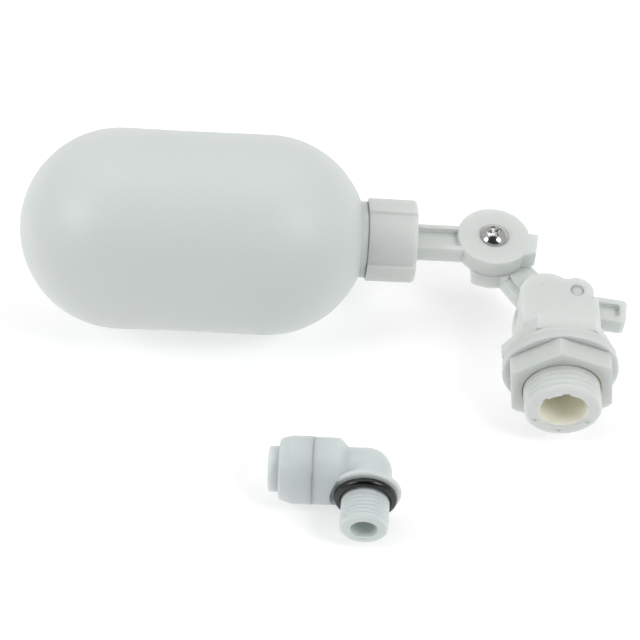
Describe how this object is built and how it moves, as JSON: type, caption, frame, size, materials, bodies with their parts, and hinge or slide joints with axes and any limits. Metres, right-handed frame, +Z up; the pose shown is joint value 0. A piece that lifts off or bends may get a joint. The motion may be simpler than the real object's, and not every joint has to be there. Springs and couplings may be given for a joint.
{
  "type": "float valve",
  "caption": "Side-arm float valve with a capsule float on an adjustable clamped arm, a threaded tank stud with nut, and a separate push-fit elbow for the inlet tube.",
  "frame": {"origin": "on the threaded stud's axis, at the collar face that clamps on the tank wall", "axes": "-Y out along the stud, towards the inlet; +Z up as the valve lies on its float and nut; -X towards the float"},
  "size_m": [0.1341, 0.0913, 0.0471],
  "materials": {
    "white_acetal": "satin moulded",
    "white_polypropylene": "satin moulded",
    "float_polyethylene": "soft satin, slightly translucent",
    "elbow_plastic": "satin moulded, cool white",
    "screw_steel": "bright nickel",
    "inner_steel": "stainless",
    "silicone": "soft white silicone",
    "black_rubber": "glossy nitrile",
    "grey_rubber": "matt"
  },
  "bodies": {
    "valve": {"valve_body": "white_acetal", "flange_gasket": "silicone", "nozzle_seat": "white_acetal", "lever_pin": "white_acetal"},
    "washer": {"nut_washer": "white_polypropylene"},
    "nut": {"mounting_nut": "white_polypropylene"},
    "plunger": {"plunger": "white_acetal", "seal_pad": "grey_rubber"},
    "lever": {"lever": "white_acetal", "clamp_nut": "inner_steel"},
    "arm": {"float_arm": "white_acetal", "clamp_screw": "screw_steel"},
    "float": {"float_shell": "float_polyethylene", "float_cap": "white_polypropylene", "cap_liner": "silicone"},
    "elbow": {"elbow_body": "elbow_plastic", "elbow_ring": "elbow_plastic", "oring_spacer": "elbow_plastic", "tube_oring": "black_rubber", "face_oring": "black_rubber"},
    "collet": {"elbow_collet": "elbow_plastic", "collet_teeth": "inner_steel"}
  },
  "joints": [
    {"name": "lever_swing", "type": "hinge", "parent": "valve", "child": "lever", "pos_m": [0.00389, 0.0149, -0.00032], "axis": [0.0826, 0, 0.9966], "range_deg": [-10, 7]},
    {"name": "plunger_slide", "type": "slide", "parent": "valve", "child": "plunger", "axis": [0, 1, 0], "range_m": [-0.00048, 0.0007]},
    {"name": "arm_adjust", "type": "hinge", "parent": "lever", "child": "arm", "pos_m": [-0.01395, 0.02926, 0.00116], "axis": [0.0826, 0, 0.9966], "range_deg": [-75, 20]},
    {"name": "float_turn", "type": "hinge", "parent": "arm", "child": "float", "pos_m": [-0.03113, 0.02819, 0.0069], "axis": [0.9965, 0.0096, -0.0826], "continuous": true},
    {"name": "nut_travel", "type": "slide", "parent": "valve", "child": "washer", "axis": [0, -1, 0], "range_m": [0, 0.01205]},
    {"name": "nut_spin", "type": "hinge", "parent": "washer", "child": "nut", "pos_m": [0, -0.00565, 0], "axis": [0, -1, 0], "range_deg": [0, 3240]},
    {"name": "elbow_lift", "type": "slide", "parent": "valve", "child": "elbow", "axis": [0, 0, 1], "range_m": [0, 0.06]},
    {"name": "collet_press", "type": "slide", "parent": "elbow", "child": "collet", "axis": [0.9984, -0.0558, 0], "range_m": [0, 0.0013]}
  ],
  "couplings": [
    {"joint": "plunger_slide", "follows": "lever_swing", "m_per_rad": -0.0039},
    {"joint": "nut_travel", "follows": "nut_spin", "m_per_rad": 0.00021279}
  ]
}
